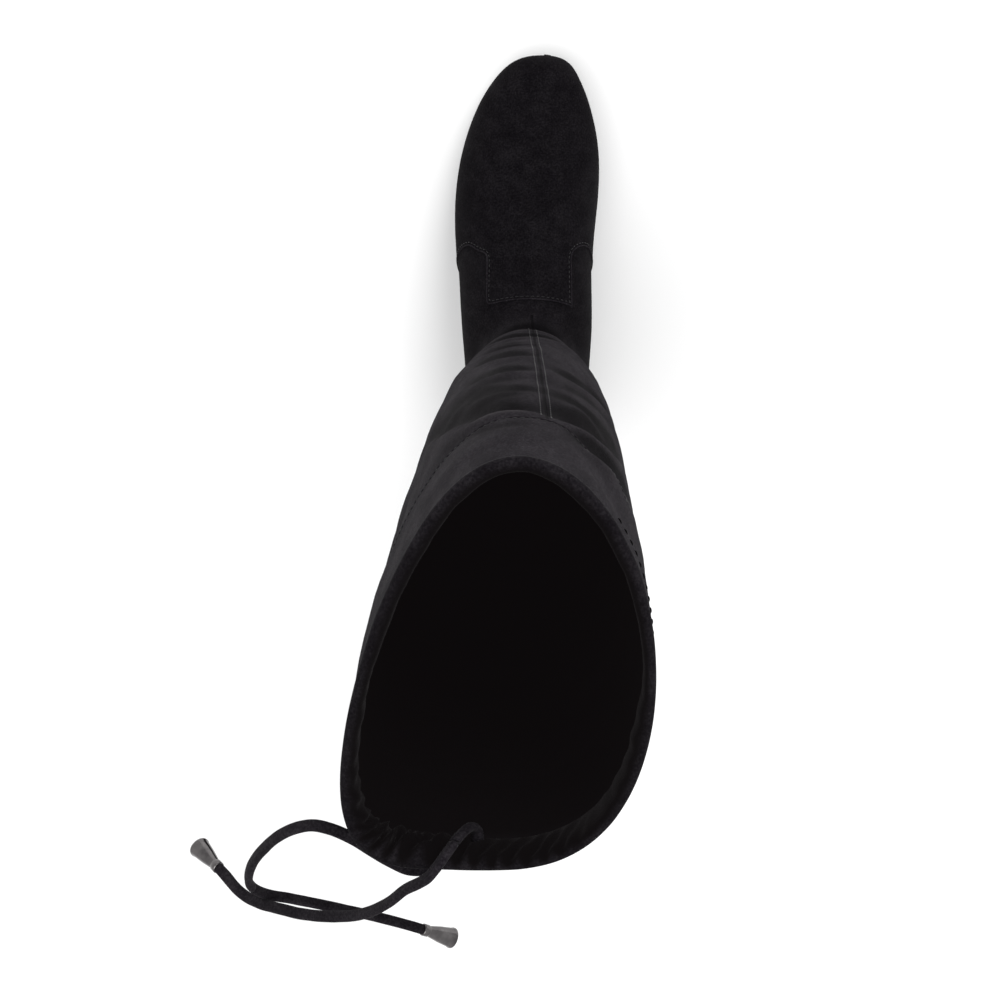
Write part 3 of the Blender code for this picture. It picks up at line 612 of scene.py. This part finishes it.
def stepLines(work):
    # The overlays' raised edges, each as a chain of points
    steep = [edge for edge in work.edges if len(edge.link_faces) == 2
             and edge.calc_face_angle_signed() > math.radians(upper["stepAngle"])]
    left = set(steep)
    at = {}
    for edge in steep:
        for corner in edge.verts:
            at.setdefault(corner, []).append(edge)
    lines = []
    while left:
        ends = [corner for corner, around in at.items() if sum(edge in left for edge in around) == 1]
        corner = min(ends, key=lambda c: c.index) if ends else min(left, key=lambda e: e.index).verts[0]
        chain = [corner.co.copy()]
        while True:
            onward = [edge for edge in at[corner] if edge in left]
            if not onward:
                break
            left.discard(onward[0])
            corner = onward[0].other_vert(corner)
            chain.append(corner.co.copy())
        if sum((b - a).length for a, b in zip(chain, chain[1:])) > upper["shortestStep"]:
            lines.append(chain)
    return lines


def makeFiner(piece):
    workOn(piece)
    bpy.ops.object.mode_set(mode="EDIT")
    bpy.ops.mesh.select_all(action="SELECT")
    bpy.ops.mesh.tris_convert_to_quads(face_threshold=math.pi, shape_threshold=math.pi)
    bpy.ops.object.mode_set(mode="OBJECT")
    work = bmesh.new()
    work.from_mesh(piece.data)
    steep = []
    for edge in work.edges:
        way = edge.verts[1].co - edge.verts[0].co
        if way.length > upper["longEdge"] and abs(way.z) > 0.7 * way.length:
            steep.append(edge)
    bmesh.ops.subdivide_edges(work, edges=steep, cuts=2, use_grid_fill=True)
    work.to_mesh(piece.data)
    work.free()
    applyModifier(piece, "SUBSURF", levels=2, render_levels=2)


def rimCorners(piece):
    work = bmesh.new()
    work.from_mesh(piece.data)
    rim = np.array([corner.co[:] for corner in work.verts
                    if corner.is_boundary and corner.co.z > upper["rimHeight"]])
    work.free()
    return rim[np.argsort(turnOf(rim))]


def depthBelowRim(places, rim):
    return np.interp(turnOf(places), turnOf(rim), rim[:, 2], period=360.0) - places[:, 2]


def splitCasing(piece, rim):
    work = bmesh.new()
    work.from_mesh(piece.data)
    level = []
    for edge in work.edges:
        way = edge.verts[1].co - edge.verts[0].co
        middle = (edge.verts[0].co + edge.verts[1].co) / 2.0
        depth = depthBelowRim(np.array([middle[:]]), rim)[0]
        nearRim = depth < upper["fineBelowRim"] and middle.z > upper["rimHeight"]
        if nearRim and abs(way.z) < 0.5 * way.length:
            level.append(edge)
    bmesh.ops.subdivide_edges(work, edges=level, cuts=2, use_grid_fill=False, smooth=0.0)
    work.to_mesh(piece.data)
    work.free()


def creaseLine(skin, points):
    points = np.array(points, float)
    points[:, 0] = np.degrees(np.unwrap(np.radians(points[:, 0])))
    spots = np.linspace(0.0, len(points) - 1.0, fold["steps"])
    line = []
    for spot in spots:
        index = min(int(spot), len(points) - 2)
        share = spot - index
        before = points[max(index - 1, 0)]
        after = points[min(index + 2, len(points) - 1)]
        turn, height = curvePoint(before, points[index], points[index + 1], after, share)
        line.append(skinPoint(skin, turn, height * mm))
    return line


def skinPoint(skin, turn, height):
    side, reach = shaftAxis(height)
    angle = math.radians(turn)
    way = Vector((math.sin(angle), -math.cos(angle), 0.0))
    place, normal, _, _ = skin.ray_cast(Vector((side, reach, height)), way)
    if place is None:
        raise ValueError("no wall at turn %.0f, height %.3f" % (turn, height))
    if normal.dot(way) < 0.0:
        normal = -normal
    return place, normal


def creaseDepth(places, line, depth, halfWidth, swellAbove, swellBelow):
    spots = np.array([place[:] for place, _ in line])
    normals = np.array([normal[:] for _, normal in line])
    ways = np.gradient(spots, axis=0)
    ways /= np.linalg.norm(ways, axis=1)[:, None]
    ups = np.cross(normals, ways)
    ups *= np.where(ups[:, 2] < 0.0, -1.0, 1.0)[:, None]
    near = np.where(np.linalg.norm(places - spots.mean(0), axis=1) < fold["reach"])[0]
    apart = places[near][:, None, :] - spots[None]
    nearest = np.argmin((apart ** 2).sum(2), axis=1)
    away = apart[np.arange(len(near)), nearest]
    across = (away * ups[nearest]).sum(1)
    along = (away * ways[nearest]).sum(1)
    deep = (away * normals[nearest]).sum(1)
    share = nearest / (len(spots) - 1.0)
    fade = easeIn(share, 0.0, fold["fadeShare"]) * easeIn(1.0 - share, 0.0, fold["fadeShare"])
    fade *= np.exp(-(along / (fold["runOut"] * halfWidth)) ** 2) * (np.abs(deep) < fold["throughWall"])
    # A fold hangs over its own shadow: a sharp edge above, a slow fade below
    across = across / halfWidth
    lower = across + fold["cutShift"]
    trough = np.exp(-(lower / np.where(lower > 0.0, fold["cutAbove"], fold["cutBelow"])) ** 2)
    crest = np.exp(-((across - fold["crestAt"]) / fold["crestWidth"]) ** 2)
    foot = np.exp(-((across + fold["footAt"]) / fold["footWidth"]) ** 2)
    edge = np.exp(-((across - fold["edgeAt"]) / fold["edgeWidth"]) ** 2)
    shadow = np.exp(-(lower / np.where(lower > 0.0, fold["shadowAbove"], fold["shadowBelow"])) ** 2)
    strength = min(depth / (fold["shadeDepthMm"] * mm), fold["shadeMost"])
    moved = np.zeros(len(places))
    moved[near] = depth * (swellAbove * crest + swellBelow * foot - trough) * fade
    tone = np.zeros(len(places))
    tone[near] = (fold["edgeLight"] * edge - fold["shadowDark"] * shadow) * fade * strength
    return moved, tone


def waves(places, scale, seed):
    offset = Vector((seed, seed * 0.7, -seed))
    return np.array([noise.noise(Vector(place) * scale + offset) for place in places])


def evenOut(piece, values, passes):
    # Averages with the neighbours, so that a crease across the mesh's rows shows no steps
    pairs = np.empty(len(piece.data.edges) * 2, dtype=int)
    piece.data.edges.foreach_get("vertices", pairs)
    pairs = pairs.reshape(-1, 2)
    both = np.concatenate([pairs[:, 0], pairs[:, 1]])
    others = np.concatenate([pairs[:, 1], pairs[:, 0]])
    count = np.maximum(np.bincount(both, minlength=len(values)), 1)
    for _ in range(passes):
        around = np.bincount(both, weights=values[others], minlength=len(values)) / count
        values = 0.4 * values + 0.6 * around
    return values


def creaseUpper(piece, rim):
    places = corners(piece)
    normals = outwards(piece)
    skin = BVHTree.FromPolygons([Vector(place) for place in places],
                                [tuple(face.vertices) for face in piece.data.polygons])
    turn = turnOf(places)
    depth = depthBelowRim(places, rim)
    shaft = easeIn(places[:, 2], upper["stillHeight"], upper["freeHeight"])
    calm = easeIn(depth, *upper["calmBelowRim"])
    squat = places * np.array([1.0, 1.0, 1.5])
    moved = shaft * calm * upper["waveDepth"] * waves(squat, upper["waveScale"], 3.0)
    moved += shaft * calm * upper["rippleDepth"] * waves(places, upper["rippleScale"], 11.0)
    overSole = easeIn(places[:, 2], *upper["skinFrom"])
    moved += upper["skinDepth"] * waves(places, upper["skinScale"], 5.0) * overSole
    folded = np.zeros(len(places))
    tone = np.zeros(len(places))
    for cut, halfWidth, swellAbove, swellBelow, points in creases:
        line = creaseLine(skin, points)
        cutIn, shade = creaseDepth(places, line, cut * mm, halfWidth * mm, swellAbove, swellBelow)
        folded += calm * cutIn
        tone += calm * shade
    folded = evenOut(piece, folded, fold["evenFold"])
    tone = evenOut(piece, tone, fold["evenTone"])
    flank = easeIn(np.abs(turn), *fold["flankTurns"]) * (places[:, 1] < fold["flankBefore"])
    loss = np.where(folded > 0.0, fold["flankSwell"], fold["flankCut"])
    moved += folded * (1.0 - loss * flank)
    tone *= 1.0 - fold["toneLoss"] * easeIn(np.abs(turn), *fold["toneTurns"])
    tone += upper["mottle"] * waves(places, upper["mottleScale"], 17.0) * shaft
    # The attribute holds the folds' painted light and shade and the random mottle
    addAttribute(piece, "foldTone", tone)
    moveCorners(piece, places + normals * moved[:, None])


def addUpper(finishes):
    piece = copyOfNode("upper", "suedeUpper")
    piece.data.materials.clear()
    piece.data.materials.append(finishes["upper"])
    piece.data.materials.append(finishes["lining"])
    lines = keepOuterFace(piece)
    makeFiner(piece)
    rim = rimCorners(piece)
    splitCasing(piece, rim)
    creaseUpper(piece, rim)
    skin = BVHTree.FromPolygons([Vector(place) for place in corners(piece)],
                                [tuple(face.vertices) for face in piece.data.polygons])
    rimLoop = rimPlaces(piece)
    applyModifier(piece, "SOLIDIFY", thickness=upper["wall"], offset=-1.0, use_even_offset=False,
                  material_offset=1, material_offset_rim=0)
    addAttribute(piece, "belowRim", depthBelowRim(corners(piece), rim))
    workOn(piece)
    bpy.ops.object.shade_smooth()
    partOfBoot(piece, "upper")
    print("upper has", len(piece.data.polygons), "faces")
    return skin, rimLoop, lines


# The collar's edge: the casing folded over the wall, thick and soft, drawn up behind
collar = {
    # Its section, as millimetres inwards and upwards from the wall's outer edge
    "steps": 320, "soften": 6, "profileMm": [
        (-0.25, -2.6), (-0.35, -1.0), (-0.05, 0.4), (0.8, 1.4), (2.2, 1.9), (3.8, 1.7), (5.1, 0.8),
        (5.9, -0.8), (6.3, -3.5), (6.3, -7.5), (5.8, -12.0), (4.8, -16.5), (3.2, -20.5), (2.0, -22.5),
        (1.75, -20.0), (1.75, -12.0), (1.75, -5.0), (1.2, -2.8)],
    "wallMm": 1.75, "innerMm": 6.3, "shadedFrom": 8,
    "softness": 0.20, "slowScale": 38.0, "quickScale": 120.0,
    "slowShift": 0.3, "quickShift": 0.5, "quickShare": 0.5,
    "slowLiftMm": 0.35, "quickLiftMm": 0.2, "liftFromMm": -1.5,
    "tieTurn": 170.0, "tieFull": 14.0, "tieNone": 46.0, "pleatSlant": 0.5, "pleatWander": 4.0,
    "tiePleatMm": 8.5, "tiePleat": 0.42, "tieLiftMm": 0.6, "tieShade": 0.25,
    "ruche": 0.10, "ruchePitchMm": 12.0, "rucheTurns": (70.0, 120.0), "rucheSlant": 0.3, "rucheWander": 3.0,
    # Its thickness round the collar, as turn in degrees and share
    "widths": [(-180, 0.75), (-150, 0.70), (-118, 0.90), (-90, 0.62), (-60, 0.70), (-30, 1.0), (0, 0.90),
               (35, 1.0), (70, 0.95), (100, 0.72), (128, 1.0), (150, 1.75), (166, 1.55), (180, 0.75)],
}


def rimPlaces(piece):
    loop = rimCorners(piece)
    places = evenSpots(np.vstack([loop, loop[:1]]), collar["steps"] + 1)[:-1]
    for _ in range(collar["soften"]):
        places = (np.roll(places, 1, axis=0) + 2.0 * places + np.roll(places, -1, axis=0)) / 4.0
    return places


def inwardWays(rimLoop):
    along = np.roll(rimLoop, -1, axis=0) - np.roll(rimLoop, 1, axis=0)
    along[:, 2] = 0.0
    along /= np.linalg.norm(along, axis=1)[:, None]
    inwards = np.stack([-along[:, 1], along[:, 0], np.zeros(len(rimLoop))], axis=1)
    toMiddle = rimLoop.mean(0) - rimLoop
    return inwards * np.where((toMiddle * inwards).sum(1) < 0.0, -1.0, 1.0)[:, None]


def addCollar(rimLoop, finishes):
    count = len(rimLoop)
    inwards = inwardWays(rimLoop)
    turn = turnOf(rimLoop)
    walked = np.arange(count) * np.linalg.norm(rimLoop[1] - rimLoop[0]) / mm
    aside = np.abs(np.mod(turn - collar["tieTurn"] + 180.0, 360.0) - 180.0)
    drawn = easeIn(aside, collar["tieNone"], collar["tieFull"])
    behind = easeIn(np.abs(turn), *collar["rucheTurns"])
    widths = np.array(collar["widths"])
    widthHere = np.interp(turn, widths[:, 0], widths[:, 1])
    vertices = []
    inside = []
    for row, (reach, up) in enumerate(collar["profileMm"]):
        beyond = max(reach - collar["wallMm"], 0.0)
        rise = np.array([0.0, 0.0, up * mm])
        slow = waves(rimLoop + rise * collar["slowShift"], collar["slowScale"], 31.0)
        quick = waves(rimLoop + rise * collar["quickShift"], collar["quickScale"], 43.0)
        pleatWalk = (walked + up * collar["pleatSlant"]) / collar["tiePleatMm"]
        rucheWalk = (walked - up * collar["rucheSlant"]) / collar["ruchePitchMm"]
        pleat = np.cos(2.0 * np.pi * pleatWalk + slow * collar["pleatWander"] + quick)
        ruche = np.cos(2.0 * np.pi * rucheWalk + slow * collar["rucheWander"])
        swell = 1.0 + collar["softness"] * (slow + collar["quickShare"] * quick)
        swell += drawn * collar["tiePleat"] * pleat + behind * collar["ruche"] * ruche
        depth = min(reach, collar["wallMm"]) + beyond * swell * widthHere
        loose = collar["slowLiftMm"] * slow + collar["quickLiftMm"] * quick
        lift = up + loose * (up > collar["liftFromMm"])
        lift += drawn * collar["tieLiftMm"] * pleat * (beyond > 0.0)
        upwards = np.array([0.0, 0.0, 1.0]) * (lift * mm)[:, None]
        vertices.append(rimLoop + inwards * (depth * mm)[:, None] + upwards)
        shaded = 1.0 if row >= collar["shadedFrom"] else max(reach, 0.0) / collar["innerMm"]
        inside.append(np.full(count, shaded) - drawn * collar["tieShade"] * pleat)
    rows = len(collar["profileMm"])
    faces = []
    for row in range(rows):
        here = row * count
        above = (row + 1) % rows * count
        for k in range(count):
            following = (k + 1) % count
            faces.append((here + k, here + following, above + following, above + k))
    piece = meshPiece("collarEdge", np.concatenate(vertices), faces, finishes["collar"])
    addAttribute(piece, "rimInside", np.concatenate(inside))
    partOfBoot(piece)


# Stitches: one small thread loop, copied along each seam
stitches = {
    "length": 0.0021, "radius": 0.00027, "pitch": 0.0031, "segments": 6, "rings": 5,
    "seamGap": 0.0021, "seamInset": (0.016, 0.002), "seamSpots": 120, "proud": 0.25,
}
# The inner side's row of puckers where the tie runs in its casing, as small dark beads: painted shade in
# each pucker
puckers = {
    "length": 0.0030, "radius": 0.00075, "pitch": 0.0050, "segments": 8, "rings": 7, "proud": -0.25,
    "turns": (-36.0, -118.0), "spots": 90, "belowRim": 0.0165,
}


def stitchShape(sizes):
    deselectAll()
    bpy.ops.mesh.primitive_uv_sphere_add(segments=sizes["segments"], ring_count=sizes["rings"],
                                         radius=1.0, location=(0.0, 0.0, 0.0))
    model = bpy.context.active_object
    places = corners(model) * np.array([sizes["radius"], sizes["radius"], sizes["length"] / 2.0])
    faces = [tuple(face.vertices) for face in model.data.polygons]
    bpy.data.objects.remove(model, do_unlink=True)
    return places, faces


def addStitchRow(name, line, finish, sizes=stitches):
    shape, shapeFaces = stitchShape(sizes)
    spots = np.array([place[:] for place, _ in line])
    normals = np.array([normal[:] for _, normal in line])
    walked = np.concatenate([[0.0], np.cumsum(np.linalg.norm(np.diff(spots, axis=0), axis=1))])
    count = int(walked[-1] / sizes["pitch"])
    vertices = []
    faces = []
    for k in range(count):
        middle = (k + 0.5) * sizes["pitch"]
        ends = [np.array([np.interp(middle + step, walked, spots[:, axis]) for axis in range(3)])
                for step in (-sizes["length"] / 2.0, sizes["length"] / 2.0)]
        normal = np.array([np.interp(middle, walked, normals[:, axis]) for axis in range(3)])
        along = (ends[1] - ends[0]) / np.linalg.norm(ends[1] - ends[0])
        normal -= along * normal.dot(along)
        normal /= np.linalg.norm(normal)
        across = np.cross(normal, along)
        centre = (ends[0] + ends[1]) / 2.0 + normal * (sizes["radius"] * sizes["proud"])
        base = len(vertices)
        for x, y, z in shape:
            vertices.append(centre + across * x + normal * y + along * z)
        faces += [tuple(base + corner for corner in face) for face in shapeFaces]
    partOfBoot(meshPiece(name, vertices, faces, finish))


# The overlays' cut edges: a fine bead on each raised edge, painted light as the highlight the raised edge
# catches, with a stitch row beside it
overlay = {
    "spacing": 0.0010, "passes": 14, "bead": 0.00045, "lift": 0.00010, "stitchGap": 0.0017,
    "vampFocus": (-0.0085, -0.080, 0.070), "heelward": 0.03, "bandHeight": 0.3,
}


def softenLine(points, closed):
    points = np.array([point[:] for point in points])
    length = np.linalg.norm(np.diff(points, axis=0), axis=1).sum()
    line = evenSpots(points, int(length / overlay["spacing"]))
    if closed:
        line = line[:-1]
    for _ in range(overlay["passes"]):
        softer = (np.roll(line, 1, axis=0) + 2.0 * line + np.roll(line, -1, axis=0)) / 4.0
        if closed:
            line = softer
        else:
            line[1:-1] = softer[1:-1]
    return line


def onSkin(skin, place):
    near, normal, _, _ = skin.find_nearest(Vector(place))
    return near, normal


def addBead(name, line, closed, finishes):
    curve = bpy.data.curves.new(name, "CURVE")
    curve.dimensions = "3D"
    curve.bevel_depth = overlay["bead"]
    curve.bevel_resolution = 2
    curve.use_fill_caps = not closed
    spline = curve.splines.new("POLY")
    spline.points.add(len(line) - 1)
    for target, (place, normal) in zip(spline.points, line):
        target.co = (*(place + normal * overlay["lift"]), 1.0)
    spline.use_cyclic_u = closed
    piece = bpy.data.objects.new(name, curve)
    bpy.context.scene.collection.objects.link(piece)
    workOn(piece)
    bpy.ops.object.convert(target="MESH")
    piece = bpy.context.active_object
    bpy.ops.object.shade_smooth()
    piece.data.materials.clear()
    piece.data.materials.append(finishes["edge"])
    partOfBoot(piece)


def beside(skin, line, closed, toward):
    places = np.array([place[:] for place, _ in line])
    normals = np.array([normal[:] for _, normal in line])
    ways = np.gradient(places, axis=0)
    if closed:
        ways = np.roll(places, -1, axis=0) - np.roll(places, 1, axis=0)
    ways /= np.linalg.norm(ways, axis=1)[:, None]
    sideways = np.cross(normals, ways)
    wanted = toward - places if toward is not None else np.array([[0.0, 0.0, 1.0]])
    sideways *= np.where((sideways * wanted).sum(1) < 0.0, -1.0, 1.0)[:, None]
    return [onSkin(skin, place) for place in places + sideways * overlay["stitchGap"]]


def addOverlayEdges(skin, lines, finishes):
    for index, chain in enumerate(lines):
        onBand = min(point.z for point in chain) > overlay["bandHeight"]
        if not onBand and sum(point.y for point in chain) / len(chain) > overlay["heelward"]:
            continue  # the notch above the heel is no overlay
        closed = (chain[0] - chain[-1]).length < 1e-4
        name = "collarBand" if onBand else "vampSeam"
        line = [onSkin(skin, place) for place in softenLine(chain, closed)]
        addBead(name + "Edge_" + str(index), line, closed, finishes)
        toward = None if onBand else np.array(overlay["vampFocus"])
        row = beside(skin, line, closed, toward)
        addStitchRow(name + "Stitches_" + str(index), row, finishes["thread"])


def sidePoint(skin, side, height):
    place, normal, _, _ = skin.ray_cast(Vector((side, 0.05, height)), Vector((0.0, -1.0, 0.0)))
    return place, normal if normal.y < 0.0 else -normal


def addFrontSeam(skin, finishes):
    for name, gap in (("outer", stitches["seamGap"]), ("inner", -stitches["seamGap"])):
        heights = np.linspace(seams["bottomHeight"] + stitches["seamInset"][0],
                              seams["topHeight"] - stitches["seamInset"][1], stitches["seamSpots"])
        line = [sidePoint(skin, frontSeamSide(height) + gap, float(height)) for height in heights]
        addStitchRow("frontSeamStitches_" + name, line, finishes["thread"])


def addPuckers(skin, rimLoop, finishes):
    turns = turnOf(rimLoop)
    order = np.argsort(turns)
    line = []
    for turn in np.linspace(*puckers["turns"], puckers["spots"]):
        height = float(np.interp(turn, turns[order], rimLoop[order, 2])) - puckers["belowRim"]
        line.append(skinPoint(skin, float(turn), height))
    addStitchRow("casingPuckers", line, finishes["paintedPuckerShade"], puckers)


def dressCadNodes(finishes):
    dressed = {"outsole": "rubber", "heel_top_lift": "lift", "heel": "heel", "insole": "insole"}
    for node, finish in dressed.items():
        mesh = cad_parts[node].data
        mesh.materials.clear()
        mesh.materials.append(finishes[finish])


def addFloor():
    deselectAll()
    bpy.ops.mesh.primitive_plane_add(size=studio["floorSize"], location=(0.0, 0.0, -studio["floorGap"]))
    floor = bpy.context.active_object
    floor.name = "studioFloor"
    finish = Finish("studioPaper", Roughness=0.9, Specular_IOR_Level=0.1)
    paper = finish.ramp(finish.grain(3.0), [(0.3, (0.90, 0.90, 0.90)), (0.7, (0.92, 0.92, 0.92))])
    finish.feed("Base Color", paper)
    floor.data.materials.append(finish.material)


def addLight():
    world = bpy.data.worlds.new("studioSky")
    world.use_nodes = True
    sky = world.node_tree.nodes["Background"]
    sky.inputs["Color"].default_value = (1.0, 1.0, 1.0, 1.0)
    sky.inputs["Strength"].default_value = studio["skyStrength"]
    bpy.context.scene.world = world
    addSoftbox("keySoftbox", studio["keyPlace"], studio["keySize"], studio["keyPower"])
    addSoftbox("topSoftbox", studio["topPlace"], studio["topSize"], studio["topPower"])
    bpy.context.scene.view_settings.view_transform = "Standard"


addCamera()
addLight()
addFloor()
finishes = {
    "upper": suedeFinish("blackSuede", 1.0, True),
    "collar": suedeFinish("collarSuede", 1.5, withCuff=True),
    # The cut edges' beads are painted lighter: a painted highlight
    "edge": suedeFinish("cutEdgeHighlight", 2.2),
    # The puckers' beads are painted dark: painted shade
    "paintedPuckerShade": suedeFinish("puckerShade", 0.3),
    "lace": suedeFinish("laceSuede", 2.4),
    "heel": suedeFinish("heelSuede"),
    "lining": liningFinish(),
    "insole": rubberFinish("insoleCloth", (0.0035, 0.0028, 0.0030), 0.08),
    "rubber": rubberFinish("outsoleRubber", (0.0085, 0.0083, 0.0087), 0.30),
    "lift": rubberFinish("liftRubber", (0.0075, 0.0073, 0.0076), 0.30),
    "metal": metalFinish(),
    "thread": threadFinish(),
}
print("studio and finishes ready")
for side in ("inner", "outer"):
    addTieEnd(side, finishes)
print("tie ready")
skin, rimLoop, lines = addUpper(finishes)
addCollar(rimLoop, finishes)
addOverlayEdges(skin, lines, finishes)
addFrontSeam(skin, finishes)
addPuckers(skin, rimLoop, finishes)
dressCadNodes(finishes)
print("upper and stitches ready")

deselectAll()
